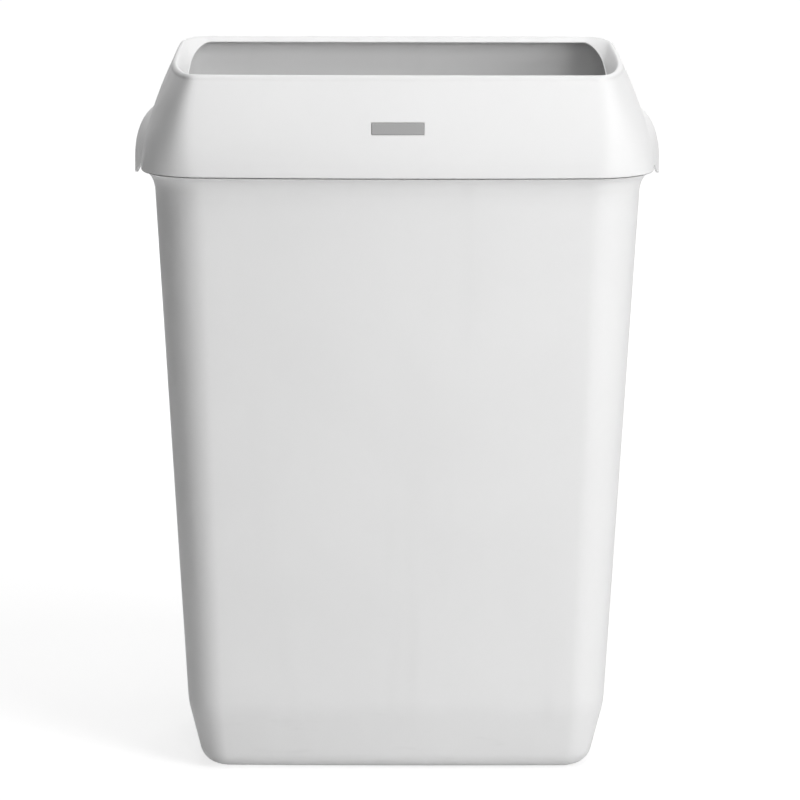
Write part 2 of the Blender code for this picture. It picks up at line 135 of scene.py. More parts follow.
BODY_FINISH = Finish(
    colour=PLASTIC_WHITE,
    roughness=0.50,
    grain=1400.0,
    grain_depth=0.00006,
    mottling=0.02,
    scuff_full=0.02,
    scuff_none=0.10,
    scuffing=0.16,
)
LID_FINISH = Finish(
    colour=PLASTIC_WHITE,
    roughness=0.46,
    grain=1600.0,
    grain_depth=0.00004,
    mottling=0.015,
    scuff_full=0.47,
    scuff_none=0.50,
    scuffing=0.2,
)
PLATE_FINISH = Finish(
    colour=PLATE_GREY,
    roughness=0.50,
    grain=2600.0,
    grain_depth=0.00003,
    mottling=0.05,
    scuff_full=0.0,
    scuff_none=0.01,
    scuffing=0.0,
)


def look_axes(azimuth, elevation, roll):
    """The camera's right, up and backward axes."""
    towards = Vector((
        math.cos(elevation) * math.sin(azimuth),
        -math.cos(elevation) * math.cos(azimuth),
        math.sin(elevation),
    ))
    right = Vector((0.0, 0.0, 1.0)).cross(towards).normalized()
    up = towards.cross(right)
    turned_right = math.cos(roll) * right + math.sin(roll) * up
    turned_up = math.cos(roll) * up - math.sin(roll) * right
    return turned_right, turned_up, towards


def make_camera():
    right, up, towards = look_axes(CAMERA_AZIMUTH, CAMERA_ELEVATION, CAMERA_ROLL)
    data = bpy.data.cameras.new("camera")
    data.sensor_fit = "HORIZONTAL"
    data.sensor_width = SENSOR_WIDTH
    data.lens = PIXELS_PER_METRE * CAMERA_DISTANCE / IMAGE_PIXELS * SENSOR_WIDTH
    data.shift_x = (IMAGE_PIXELS / 2 - TARGET_PIXEL[0]) / IMAGE_PIXELS
    data.shift_y = (TARGET_PIXEL[1] - IMAGE_PIXELS / 2) / IMAGE_PIXELS
    data.clip_end = CLIP_END
    camera = bpy.data.objects.new("camera", data)
    bpy.context.scene.collection.objects.link(camera)
    matrix = Matrix((right, up, towards)).transposed().to_4x4()
    matrix.translation = CAMERA_TARGET + CAMERA_DISTANCE * towards
    camera.matrix_world = matrix
    bpy.context.scene.camera = camera


def area_light(name, azimuth, elevation, size, power):
    """A soft square light that faces the middle of the bin."""
    _, _, towards = look_axes(math.radians(azimuth), math.radians(elevation), 0.0)
    data = bpy.data.lights.new(name, "AREA")
    data.shape = "SQUARE"
    data.size = size
    data.energy = power
    light = bpy.data.objects.new(name, data)
    bpy.context.scene.collection.objects.link(light)
    light.location = CAMERA_TARGET + LIGHT_DISTANCE * towards
    light.rotation_euler = towards.to_track_quat("Z", "Y").to_euler()


def seen_directly(tree):
    """A socket that is 1 for what the camera sees, also mirrored or through something clear."""
    path = tree.nodes.new("ShaderNodeLightPath")
    first = tree.nodes.new("ShaderNodeMath")
    first.operation = "MAXIMUM"
    both = tree.nodes.new("ShaderNodeMath")
    both.operation = "MAXIMUM"
    tree.links.new(path.outputs["Is Camera Ray"], first.inputs[0])
    tree.links.new(path.outputs["Is Glossy Ray"], first.inputs[1])
    tree.links.new(first.outputs[0], both.inputs[0])
    tree.links.new(path.outputs["Is Transmission Ray"], both.inputs[1])
    return both.outputs[0]


def make_world():
    """A very dim even sky for the light, seen as plain white."""
    world = bpy.data.worlds.new("studio")
    bpy.context.scene.world = world
    world.use_nodes = True
    tree = world.node_tree
    tree.nodes.clear()
    out = tree.nodes.new("ShaderNodeOutputWorld")
    blend = tree.nodes.new("ShaderNodeMixShader")
    dim = tree.nodes.new("ShaderNodeBackground")
    dim.inputs["Color"].default_value = WHITE
    dim.inputs["Strength"].default_value = AMBIENT
    white = tree.nodes.new("ShaderNodeBackground")
    white.inputs["Color"].default_value = WHITE
    white.inputs["Strength"].default_value = 1.0
    tree.links.new(seen_directly(tree), blend.inputs["Fac"])
    tree.links.new(dim.outputs[0], blend.inputs[1])
    tree.links.new(white.outputs[0], blend.inputs[2])
    tree.links.new(blend.outputs[0], out.inputs["Surface"])


def make_floor():
    """A plain pale floor that keeps the bin's shadow, and fades to white with distance."""
    mesh = bpy.data.meshes.new("floor")
    corners = [
        (-FLOOR_REACH, -FLOOR_REACH, 0.0),
        (FLOOR_REACH, -FLOOR_REACH, 0.0),
        (FLOOR_REACH, FLOOR_REACH, 0.0),
        (-FLOOR_REACH, FLOOR_REACH, 0.0),
    ]
    mesh.from_pydata(corners, [], [(0, 1, 2, 3)])
    floor = bpy.data.objects.new("floor", mesh)
    bpy.context.scene.collection.objects.link(floor)
    floor.location.z = -FLOOR_DROP
    made = bpy.data.materials.new("pale floor")
    made.use_nodes = True
    tree = made.node_tree
    tree.nodes.clear()
    out = tree.nodes.new("ShaderNodeOutputMaterial")
    bounce = tree.nodes.new("ShaderNodeBsdfDiffuse")
    bounce.inputs["Color"].default_value = FLOOR_COLOUR
    shaded = tree.nodes.new("ShaderNodeBsdfDiffuse")
    shaded.inputs["Color"].default_value = SEEN_FLOOR_COLOUR
    where = tree.nodes.new("ShaderNodeTexCoord")
    away = tree.nodes.new("ShaderNodeVectorMath")
    away.operation = "LENGTH"
    fade = tree.nodes.new("ShaderNodeMapRange")
    fade.interpolation_type = "SMOOTHSTEP"
    fade.inputs["From Min"].default_value = LIFT_START
    fade.inputs["From Max"].default_value = LIFT_END
    fade.inputs["To Min"].default_value = FLOOR_LIFT_NEAR
    fade.inputs["To Max"].default_value = FLOOR_LIFT_FAR
    lift = tree.nodes.new("ShaderNodeEmission")
    seen = tree.nodes.new("ShaderNodeAddShader")
    blend = tree.nodes.new("ShaderNodeMixShader")
    tree.links.new(where.outputs["Object"], away.inputs[0])
    tree.links.new(away.outputs["Value"], fade.inputs["Value"])
    tree.links.new(fade.outputs["Result"], lift.inputs["Strength"])
    tree.links.new(shaded.outputs[0], seen.inputs[0])
    tree.links.new(lift.outputs[0], seen.inputs[1])
    tree.links.new(seen_directly(tree), blend.inputs["Fac"])
    tree.links.new(bounce.outputs[0], blend.inputs[1])
    tree.links.new(seen.outputs[0], blend.inputs[2])
    tree.links.new(blend.outputs[0], out.inputs["Surface"])
    mesh.materials.append(made)


def noise(tree, where, scale, detail, stretch=(1.0, 1.0, 1.0)):
    """A socket with soft noise, drawn out along the axes where its stretch is small."""
    mapping = tree.nodes.new("ShaderNodeMapping")
    mapping.inputs["Scale"].default_value = stretch
    node = tree.nodes.new("ShaderNodeTexNoise")
    node.inputs["Scale"].default_value = scale
    node.inputs["Detail"].default_value = detail
    tree.links.new(where.outputs["Object"], mapping.inputs["Vector"])
    tree.links.new(mapping.outputs["Vector"], node.inputs["Vector"])
    return node.outputs["Fac"]


def spread(tree, value, span, result):
    """A socket that goes softly from one result to the other as the value goes through the span."""
    node = tree.nodes.new("ShaderNodeMapRange")
    node.interpolation_type = "SMOOTHSTEP"
    node.inputs["From Min"].default_value = span[0]
    node.inputs["From Max"].default_value = span[1]
    node.inputs["To Min"].default_value = result[0]
    node.inputs["To Max"].default_value = result[1]
    tree.links.new(value, node.inputs["Value"])
    return node.outputs["Result"]


def times(tree, a, b):
    node = tree.nodes.new("ShaderNodeMath")
    node.operation = "MULTIPLY"
    tree.links.new(a, node.inputs[0])
    tree.links.new(b, node.inputs[1])
    return node.outputs[0]


def blend_colour(tree, share, first, second):
    """A socket that goes from the first colour to the second, each a socket or a plain colour."""
    node = tree.nodes.new("ShaderNodeMix")
    node.data_type = "RGBA"
    node.clamp_factor = True
    tree.links.new(share, node.inputs["Factor"])
    for place, colour in ((MIX_FIRST, first), (MIX_SECOND, second)):
        if isinstance(colour, tuple):
            node.inputs[place].default_value = colour
        else:
            tree.links.new(colour, node.inputs[place])
    return node.outputs[MIX_RESULT]


def darker(colour, share):
    return tuple(c * (1.0 - share) for c in colour[:3]) + (1.0,)


def moulded_plastic(name, finish):
    """Moulded plastic with fine grain, faint flow marks, uneven sheen and scuffs low down."""
    made = bpy.data.materials.new(name)
    made.use_nodes = True
    tree = made.node_tree
    shader = tree.nodes["Principled BSDF"]
    shader.inputs["IOR"].default_value = PLASTIC_IOR
    shader.inputs["Specular IOR Level"].default_value = PLASTIC_SPECULAR
    where = tree.nodes.new("ShaderNodeTexCoord")

    cloud = noise(tree, where, CLOUD_SCALE, CLOUD_DETAIL)
    cloud = spread(tree, cloud, CLOUD_RANGE, FULL_RANGE)
    tone = blend_colour(tree, cloud, darker(finish.colour, finish.mottling), finish.colour)
    flow = noise(tree, where, FLOW_SCALE, FLOW_DETAIL, FLOW_STRETCH)
    flow = spread(tree, flow, FLOW_RANGE, FULL_RANGE)
    flow_colour = darker(finish.colour, FLOW_DARKENING * finish.mottling)
    tone = blend_colour(tree, times(tree, flow, cloud), tone, flow_colour)

    axes = tree.nodes.new("ShaderNodeSeparateXYZ")
    tree.links.new(where.outputs["Object"], axes.inputs[0])
    scuffed_heights = (finish.scuff_full, finish.scuff_none)
    height = spread(tree, axes.outputs["Z"], scuffed_heights, (finish.scuffing, 0.0))
    streaks = noise(tree, where, SCUFF_SCALE, SCUFF_DETAIL, SCUFF_STRETCH)
    streaks = spread(tree, streaks, SCUFF_RANGE, FULL_RANGE)
    tone = blend_colour(tree, times(tree, height, streaks), tone, SCUFF_GREY)
    tree.links.new(tone, shader.inputs["Base Color"])

    sheen = noise(tree, where, SHEEN_SCALE, SHEEN_DETAIL)
    roughness = (finish.roughness - SHEEN_CHANGE, finish.roughness + SHEEN_CHANGE)
    tree.links.new(spread(tree, sheen, SHEEN_RANGE, roughness), shader.inputs["Roughness"])

    bump = tree.nodes.new("ShaderNodeBump")
    bump.inputs["Strength"].default_value = GRAIN_STRENGTH
    bump.inputs["Distance"].default_value = finish.grain_depth
    tree.links.new(noise(tree, where, finish.grain, GRAIN_DETAIL), bump.inputs["Height"])
    tree.links.new(bump.outputs["Normal"], shader.inputs["Normal"])
    return made


# Overall sizes
LID_HALF_WIDTH = 0.2063
LID_FRONT = -0.144
LID_REAR = 0.144
LEDGE_TOP = 0.4920
SEAT_CLEARANCE = 0.0004
LID_HEIGHT = 0.0794

# The ledge that carries the lid, a little inside the lid's edge
LEDGE_SET_IN = 0.0003
LEDGE_REACH = 0.0098
LEDGE_EDGE = 0.0004
COVE_HEIGHT = 0.0162

# Shape of the body's wall, at the ledge and at the bend above the heel
BODY_TOP_HALF_WIDTH = LID_HALF_WIDTH - LEDGE_SET_IN - LEDGE_REACH
BODY_TOP_FRONT = LID_FRONT + LEDGE_SET_IN + LEDGE_REACH
BODY_TOP_REAR = LID_REAR - LEDGE_SET_IN - LEDGE_REACH
BODY_TOP_CORNER = (0.040, 0.043)
BODY_TOP_REAR_CORNER = (0.040, 0.040)
BODY_TOP_CROWN = 0.0068
BEND_HALF_WIDTH = 0.1697
BEND_FRONT = -0.1140
BEND_REAR = 0.1260
BEND_CORNER = (0.029, 0.032)
BEND_REAR_CORNER = (0.032, 0.032)
BEND_CROWN = 0.0020
BEND_HEIGHT = 0.0530
BEND_REACH = 0.0070
BODY_WALL = 0.0025

# Heel, base and upstand of the body
HEEL_ANGLE = math.radians(14.2)
HEEL_RADIUS = 0.0188
BASE_CORNER = 0.0075
REST_BAND = 0.016
BASE_RECESS = 0.004
RECESS_DRAFT = 0.002
FLOOR_THICKNESS = 0.0028
UPSTAND_HEIGHT = 0.022

# Lid frame
LID_WALL = 0.0024
LID_SIDE_LEAN = 0.0252
LID_FRONT_LEAN = 0.0235
LID_REAR_LEAN = 0.0038
LID_CURVE_POWER = 1.65
LID_CORNER = (0.047, 0.045)
LID_REAR_CORNER = (0.042, 0.045)
LID_CROWN = 0.0068
RIM_CORNER = (0.0225, 0.108)
RIM_CORNER_POWER = 3.0
RIM_REAR_CORNER = (0.019, 0.041)
RIM_CROWN = 0.0028
RIM_BEAD = 0.0038
EDGE_ROUND = 0.0006
SIDE_BOW = 0.0140
BOW_CENTRE = -0.028
BOW_REACH = 0.130

# Sloping flange inside the mouth
FLANGE_SIDE_WIDTH = 0.0094
FLANGE_FRONT_WIDTH = 0.0120
FLANGE_REAR_WIDTH = 0.0136
FLANGE_CORNER = (0.0225, 0.070)
FLANGE_REAR_CORNER = (0.012, 0.092)
FLANGE_DROP_REAR = 0.0026
FLANGE_DROP_FRONT = 0.0220
FLANGE_EDGE_ROUND = 0.0006
FLANGE_ROOT = 0.0048

# Finger grips in the lid's sides
GRIP_CENTRE_Y = -0.0020
GRIP_REACH = 0.0190
GRIP_HALF_LENGTH = 0.0812
GRIP_RISE = 0.0374
GRIP_SET_IN = 0.0116
GRIP_AXIS_HALF_WIDTH = LID_HALF_WIDTH - GRIP_SET_IN
GRIP_WALL = 0.0025
GRIP_DIP = 0.0140
GRIP_DIP_HALF_LENGTH = 0.060
NOTCH_END_GAP = 0.0015
NOTCH_STEP = 0.0004

# Ribs inside the lid that keep it centred on the body's upstand. RIB_STRAIGHT is the share of their
# height above which their inner edge slopes to the wall
RIB_THICKNESS = 0.0020
RIB_CLEARANCE = 0.0006
RIB_FOOT = 0.0030
RIB_TOP = 0.042
RIB_STRAIGHT = 0.5
RIB_FRONT_X = 0.105
RIB_REAR_X = 0.105
RIB_SIDE_FRONT_Y = -0.080
RIB_SIDE_REAR_Y = 0.072

# Plain plate on the lid's front
BADGE_WIDTH = 0.0420
BADGE_HEIGHT = 0.0098
BADGE_ABOVE_EDGE = 0.0390
BADGE_RECESS = 0.0009
BADGE_SIDE_GAP = 0.0003

# How far a cutting box stands past what it cuts, and the least corner of a drawn-in outline
CUT_OVERRUN = 0.020
LEAST_CORNER = 0.004

# The power that makes a corner of an outline an ellipse
ELLIPSE_POWER = 2.0

# Small rounds and soft creases
LEDGE_ROUND = 0.0002
UPSTAND_ROOT = 0.0012
GRIP_CREASE = 0.0045
RIB_CHAMFER = 0.0003

# How soon the rim's crest rolls over into the flange, and how closely the outlines lie there
ROLL_SHARE = 0.25
ROLL_POWER = 1.5

# Shadow gap between the ledge and the lid
SHADOW_GAP = 0.0006

# Points of a lid outline belong to its sides from SIDE_FROM outwards, and the grips change those
# within GRIP_NEAR of their middle
SIDE_FROM = 0.150
GRIP_NEAR = 0.102

# Height of the lid's lowest band, in which the dip of its edge under the grips fades out
LOW_BAND = 0.004

# Counts of points and of levels, and the angle from which an edge is shaded as sharp
FRONT_STEPS = 16
CORNER_STEPS = 20
SIDE_STEPS = 130
REAR_STEPS = 12
HEEL_STEPS = 14
BEND_STEPS = 10
FLANGE_STEPS = 8
COVE_STEPS = 14
BEAD_STEPS = 8
LIP_STEPS = 5
EDGE_STEPS = 4
LOW_LEVELS = 10
LID_LEVELS = 72
WALL_LEVELS = 24
OUTLINE_STEPS = 8
SHARP_ANGLE = math.radians(35.0)


@dataclass(frozen=True)
class Section:
    """A rounded rectangle seen from above, with its own height.

    front and rear are y at the middle. crown is how far the front bulges between its ends, and bow
    is the share of the width that the sides lose towards their ends. tilt is the height gained for
    each metre towards the rear. corner_power is ELLIPSE_POWER where the front corners are ellipses,
    and more where they are fuller.
    """

    z: float
    half: float
    front: float
    rear: float
    corner: tuple
    rear_corner: tuple
    crown: float = 0.0
    bow: float = 0.0
    tilt: float = 0.0
    corner_power: float = ELLIPSE_POWER


def mix(a, b, share):
    return a + (b - a) * share


def mix_pair(a, b, share):
    return tuple(mix(p, q, share) for p, q in zip(a, b))


def inset(section, distance, z=None):
    """The section drawn in by a distance all round, or let out where the distance is negative."""

    def smaller(pair):
        return tuple(max(side - distance, LEAST_CORNER) for side in pair)

    return replace(
        section,
        z=section.z if z is None else z,
        half=section.half - distance,
        front=section.front + distance,
        rear=section.rear - distance,
        corner=smaller(section.corner),
        rear_corner=smaller(section.rear_corner),
    )


def warp(section, x, y):
    """Bends a point of the plain rounded rectangle into the crowned front and the bowed sides."""
    depth = section.rear - section.front
    towards_front = (section.rear - y) / depth
    y += section.crown * (x / section.half) ** 2 * towards_front
    x *= 1.0 - section.bow * ((y - BOW_CENTRE) / BOW_REACH) ** 2
    return x, y


def right_half(section):
    """Points from the middle of the front round the right side to the middle of the rear."""
    fx, fy = section.corner
    rx, ry = section.rear_corner
    points = []
    for i in range(FRONT_STEPS):
        points.append(((section.half - fx) * i / FRONT_STEPS, section.front))
    for i in range(CORNER_STEPS):
        angle = math.pi / 2 * i / CORNER_STEPS
        x = section.half - fx + fx * math.sin(angle) ** (ELLIPSE_POWER / section.corner_power)
        y = section.front + fy - fy * math.cos(angle)
        points.append((x, y))
    for i in range(SIDE_STEPS):
        points.append((section.half, mix(section.front + fy, section.rear - ry, i / SIDE_STEPS)))
    for i in range(CORNER_STEPS):
        angle = math.pi / 2 * i / CORNER_STEPS
        x = section.half - rx + rx * math.cos(angle)
        y = section.rear - ry + ry * math.sin(angle)
        points.append((x, y))
    for i in range(REAR_STEPS + 1):
        points.append((mix(section.half - rx, 0.0, i / REAR_STEPS), section.rear))
    return [warp(section, x, y) for x, y in points]


def outline(section):
    """The whole outline in 3-D, anticlockwise seen from above, from the middle of the front."""
    right = right_half(section)
    left = [(-x, y) for x, y in right[-2:0:-1]]
    return [(x, y, section.z + section.tilt * (y - section.rear)) for x, y in right + left]


def body_wall(z):
    """The outside of the body's wall, from the bend above the heel to the top of the upstand."""
    share = (z - BEND_HEIGHT) / (LEDGE_TOP - BEND_HEIGHT)
    return Section(
        z=z,
        half=mix(BEND_HALF_WIDTH, BODY_TOP_HALF_WIDTH, share),
        front=mix(BEND_FRONT, BODY_TOP_FRONT, share),
        rear=mix(BEND_REAR, BODY_TOP_REAR, share),
        corner=mix_pair(BEND_CORNER, BODY_TOP_CORNER, share),
        rear_corner=mix_pair(BEND_REAR_CORNER, BODY_TOP_REAR_CORNER, share),
        crown=mix(BEND_CROWN, BODY_TOP_CROWN, share),
        bow=SIDE_BOW,
    )


def heel_sections(radius, wall, foot):
    """The rounded heel from its foot up to the bend, drawn in by the wall's thickness."""
    bend = body_wall(BEND_HEIGHT)
    drawn_bend = inset(bend, wall)
    base = (BASE_CORNER, BASE_CORNER)
    arc_top = foot + radius * (1.0 - math.sin(HEEL_ANGLE))
    lean = (BEND_HEIGHT - arc_top) * math.tan(HEEL_ANGLE)
    full = lean + radius * math.cos(HEEL_ANGLE)
    sections = []
    for i in range(HEEL_STEPS + 1):
        angle = mix(math.pi / 2, HEEL_ANGLE, i / HEEL_STEPS)
        drawn_in = lean + radius * (math.cos(HEEL_ANGLE) - math.cos(angle))
        section = inset(bend, drawn_in + wall, foot + radius * (1.0 - math.sin(angle)))
        share = drawn_in / full
        corner = mix_pair(drawn_bend.corner, base, share)
        rear_corner = mix_pair(drawn_bend.rear_corner, base, share)
        sections.append(replace(section, corner=corner, rear_corner=rear_corner))
    return sections


def cove_start():
    """The height at which the wall starts to curve out to the ledge."""
    return LEDGE_TOP - SHADOW_GAP - LEDGE_EDGE - COVE_HEIGHT


def lid_bottom():
    return LEDGE_TOP + SEAT_CLEARANCE


def lid_top():
    return lid_bottom() + LID_HEIGHT


def lid_wall(z):
    """The outside of the lid's skirt."""
    share = max((z - lid_bottom()) / LID_HEIGHT, 0.0)
    curve = share**LID_CURVE_POWER
    return Section(
        z=z,
        half=LID_HALF_WIDTH - LID_SIDE_LEAN * curve,
        front=LID_FRONT + LID_FRONT_LEAN * curve,
        rear=LID_REAR - LID_REAR_LEAN * curve,
        corner=mix_pair(LID_CORNER, RIM_CORNER, share),
        rear_corner=mix_pair(LID_REAR_CORNER, RIM_REAR_CORNER, share),
        crown=mix(LID_CROWN, RIM_CROWN, share),
        bow=SIDE_BOW,
        corner_power=mix(ELLIPSE_POWER, RIM_CORNER_POWER, share),
    )


def rim_crest():
    """The highest line of the rim."""
    return inset(lid_wall(lid_top() - RIM_BEAD), RIM_BEAD, lid_top())


def flange_edge(drop_extra=0.0):
    """The flange's inner edge round the mouth, whose drop grows towards the front."""
    crest = rim_crest()
    front = crest.front + FLANGE_FRONT_WIDTH
    rear = crest.rear - FLANGE_REAR_WIDTH
    return replace(
        crest,
        z=crest.z - FLANGE_DROP_REAR - drop_extra,
        half=crest.half - FLANGE_SIDE_WIDTH,
        front=front,
        rear=rear,
        corner=FLANGE_CORNER,
        rear_corner=FLANGE_REAR_CORNER,
        tilt=(FLANGE_DROP_FRONT - FLANGE_DROP_REAR) / (rear - front),
    )


def soft_max(a, b, crease):
    """The larger of two values, with the crease between them rounded where they are close."""
    close = max(crease - abs(a - b), 0.0) / crease
    return max(a, b) + close**2 * crease / 4


def grip_dip(y):
    """How far the lid's edge dips under the grip, at a place along the side."""
    along = (y - GRIP_CENTRE_Y) / GRIP_DIP_HALF_LENGTH
    return GRIP_DIP * max(0.0, 1.0 - along**2)


def dome_x(y, z, shrink):
    """Half the width over the grip's dome, which falls away steeply beyond its foot."""
    along = (y - GRIP_CENTRE_Y) / (GRIP_HALF_LENGTH - shrink)
    up = max(z - lid_bottom(), 0.0) / (GRIP_RISE - shrink)
    left = 1.0 - along**2 - up**2
    return GRIP_AXIS_HALF_WIDTH + (GRIP_REACH - shrink) * math.copysign(math.sqrt(abs(left)), left)


def with_grips(points, shrink):
    """Pushes a lid outline's sides out over the grips' domes."""
    moved = []
    for x, y, z in points:
        if abs(x) > SIDE_FROM and abs(y - GRIP_CENTRE_Y) < GRIP_NEAR:
            x = math.copysign(soft_max(abs(x), dome_x(y, z, shrink), GRIP_CREASE), x)
        moved.append((x, y, z))
    return moved


def low_outline(section, share):
    """An outline in the lid's lowest band, which follows the dip of the edge under the grips."""
    points = []
    for x, y, z in outline(section):
        dip = grip_dip(y) if abs(x) > SIDE_FROM else 0.0
        points.append((x, y, z - dip * (1.0 - share)))
    return points


def arc(count, end=math.pi / 2):
    """Angles from zero to the end, evenly spaced."""
    return [end * (i / count) for i in range(count + 1)]


def lid_outlines():
    """Every outline of the lid: up the outside, over the bead, down the flange, down the inside."""
    bottom = lid_bottom()
    top = lid_top()
    outside = []
    for angle in arc(EDGE_STEPS):
        drawn_in = EDGE_ROUND * (1.0 - math.sin(angle))
        section = inset(lid_wall(bottom), drawn_in, bottom + EDGE_ROUND * (1.0 - math.cos(angle)))
        outside.append(with_grips(low_outline(section, 0.0), drawn_in))
    for i in range(1, LOW_LEVELS + 1):
        share = i / LOW_LEVELS
        section = lid_wall(mix(bottom + EDGE_ROUND, bottom + LOW_BAND, share))
        outside.append(with_grips(low_outline(section, share), 0.0))
    bead_start = top - RIM_BEAD
    for i in range(1, LID_LEVELS + 1):
        section = lid_wall(mix(bottom + LOW_BAND, bead_start, i / LID_LEVELS))
        outside.append(with_grips(outline(section), 0.0))
    for angle in arc(BEAD_STEPS)[1:]:
        z = bead_start + RIM_BEAD * math.sin(angle)
        outside.append(outline(inset(lid_wall(bead_start), RIM_BEAD * (1.0 - math.cos(angle)), z)))
    crest = outside[-1]
    edge = outline(flange_edge())
    for i in range(1, FLANGE_STEPS):
        outside.append(rolled(crest, edge, (i / FLANGE_STEPS) ** ROLL_POWER))
    for angle in arc(2 * EDGE_STEPS, math.pi):
        drop = FLANGE_EDGE_ROUND * (1.0 - math.cos(angle))
        inward = FLANGE_EDGE_ROUND * math.sin(angle)
        outside.append(outline(inset(flange_edge(drop), inward - FLANGE_EDGE_ROUND)))
    inside = []
    for i in range(LID_LEVELS // 2 + 1):
        z = mix(bottom + LOW_BAND, top - FLANGE_ROOT, i / (LID_LEVELS // 2))
        inside.append(with_grips(outline(inset(lid_wall(z), LID_WALL)), GRIP_WALL))
    for i in range(LOW_LEVELS):
        share = 1.0 - (i + 1) / LOW_LEVELS
        z = mix(bottom, bottom + LOW_BAND, share)
        inside.insert(0, with_grips(low_outline(inset(lid_wall(z), LID_WALL), share), GRIP_WALL))
    return outside + inside[::-1]


def rolled(crest, edge, share):
    """An outline on the flange, which leaves the crest level and rolls over into its slope."""
    down = (math.hypot(share, ROLL_SHARE) - ROLL_SHARE) / (math.hypot(1.0, ROLL_SHARE) - ROLL_SHARE)
    points = []
    for p, q in zip(crest, edge):
        points.append((mix(p[0], q[0], share), mix(p[1], q[1], share), mix(p[2], q[2], down)))
    return points


def bend_sections():
    """Levels across the soft bend between the heel's lean and the wall."""
    low = inset(body_wall(BEND_HEIGHT), BEND_REACH * math.tan(HEEL_ANGLE), BEND_HEIGHT - BEND_REACH)
    middle = body_wall(BEND_HEIGHT)
    high = body_wall(BEND_HEIGHT + BEND_REACH)
    sections = []
    for i in range(BEND_STEPS + 1):
        share = i / BEND_STEPS
        sections.append(replace(
            high,
            z=quadratic(low.z, middle.z, high.z, share),
            half=quadratic(low.half, middle.half, high.half, share),
            front=quadratic(low.front, middle.front, high.front, share),
            rear=quadratic(low.rear, middle.rear, high.rear, share),
            corner=mix_pair(low.corner, high.corner, share),
            rear_corner=mix_pair(low.rear_corner, high.rear_corner, share),
            crown=mix(low.crown, high.crown, share),
        ))
    return sections


def quadratic(start, middle, end, share):
    """A point on the curve that leaves start towards middle and reaches end."""
    return mix(mix(start, middle, share), mix(middle, end, share), share)


def body_outlines():
    """Every outline of the body, up the outside, over the lip and down the inside."""
    heel = heel_sections(HEEL_RADIUS, 0.0, 0.0)
    rest = heel[0]
    sections = [
        inset(rest, REST_BAND + RECESS_DRAFT, BASE_RECESS),
        inset(rest, REST_BAND, 0.0),
    ]
    sections += heel + bend_sections()
    low = BEND_HEIGHT + BEND_REACH
    for i in range(1, WALL_LEVELS + 1):
        sections.append(body_wall(mix(low, cove_start(), i / WALL_LEVELS)))
    for angle in arc(COVE_STEPS)[1:]:
        z = cove_start() + COVE_HEIGHT * math.sin(angle)
        sections.append(inset(body_wall(z), -(LEDGE_REACH - LEDGE_ROUND) * (1.0 - math.cos(angle))))
    for angle in arc(EDGE_STEPS)[1:]:
        out = LEDGE_REACH - LEDGE_ROUND * (1.0 - math.sin(angle))
        z = LEDGE_TOP - SHADOW_GAP - LEDGE_EDGE + LEDGE_ROUND * (1.0 - math.cos(angle))
        sections.append(inset(body_wall(z), -out))
    for angle in arc(EDGE_STEPS)[1:]:
        out = LEDGE_REACH - LEDGE_ROUND * (1.0 - math.cos(angle))
        z = LEDGE_TOP - SHADOW_GAP - LEDGE_ROUND * (1.0 - math.sin(angle))
        sections.append(inset(body_wall(z), -out))
    top = LEDGE_TOP + UPSTAND_HEIGHT
    for angle in arc(EDGE_STEPS):
        out = UPSTAND_ROOT * (1.0 - math.sin(angle))
        z = LEDGE_TOP + UPSTAND_ROOT * (1.0 - math.cos(angle))
        sections.append(inset(body_wall(z), -out))
    for angle in arc(2 * LIP_STEPS, math.pi):
        drawn_in = BODY_WALL / 2 * (1.0 - math.cos(angle))
        z = top - BODY_WALL / 2 + BODY_WALL / 2 * math.sin(angle)
        sections.append(inset(body_wall(z), drawn_in))
    for i in range(WALL_LEVELS + 1):
        z = mix(top - BODY_WALL, BEND_HEIGHT, i / WALL_LEVELS)
        sections.append(inset(body_wall(z), BODY_WALL))
    inner_floor = BASE_RECESS + FLOOR_THICKNESS
    sections += heel_sections(HEEL_RADIUS - BODY_WALL, BODY_WALL, inner_floor)[::-1][1:]
    return [outline(section) for section in sections]


def skin_mesh(name, outlines, closed):
    """Skins outlines in order. A closed skin joins the last to the first, an open one is capped."""
    count = len(outlines[0])
    points = [p for ring in outlines for p in ring]
    faces = []
    rings = len(outlines)
    for k in range(rings if closed else rings - 1):
        low = k * count
        high = (k + 1) % rings * count
        for i in range(count):
            j = (i + 1) % count
            faces.append((low + i, low + j, high + j, high + i))
    if not closed:
        faces.append(tuple(reversed(range(count))))
        faces.append(tuple(range((rings - 1) * count, rings * count)))
    mesh = bpy.data.meshes.new(name)
    mesh.from_pydata(points, [], faces)
    bm = bmesh.new()
    bm.from_mesh(mesh)
    bmesh.ops.recalc_face_normals(bm, faces=bm.faces[:])
    bm.to_mesh(mesh)
    bm.free()
    return mesh


def piece(name, mesh):
    obj = bpy.data.objects.new(name, mesh)
    bpy.context.scene.collection.objects.link(obj)
    return obj


def box_mesh(name, size):
    mesh = bpy.data.meshes.new(name)
    bm = bmesh.new()
    bmesh.ops.create_cube(bm, size=1.0)
    bmesh.ops.scale(bm, vec=size, verts=bm.verts[:])
    bm.to_mesh(mesh)
    bm.free()
    return mesh


def combine(obj, operation, other):
    """Cuts one piece by another or joins it on, and drops the other."""
    modifier = obj.modifiers.new("combine", "BOOLEAN")
    modifier.operation = operation
    modifier.solver = "EXACT"
    modifier.object = other
    graph = bpy.context.evaluated_depsgraph_get()
    mesh = bpy.data.meshes.new_from_object(obj.evaluated_get(graph))
    obj.modifiers.clear()
    obj.data = mesh
    bpy.data.objects.remove(other)


def smooth(obj):
    obj.data.shade_smooth()
    obj.data.set_sharp_from_angle(angle=SHARP_ANGLE)


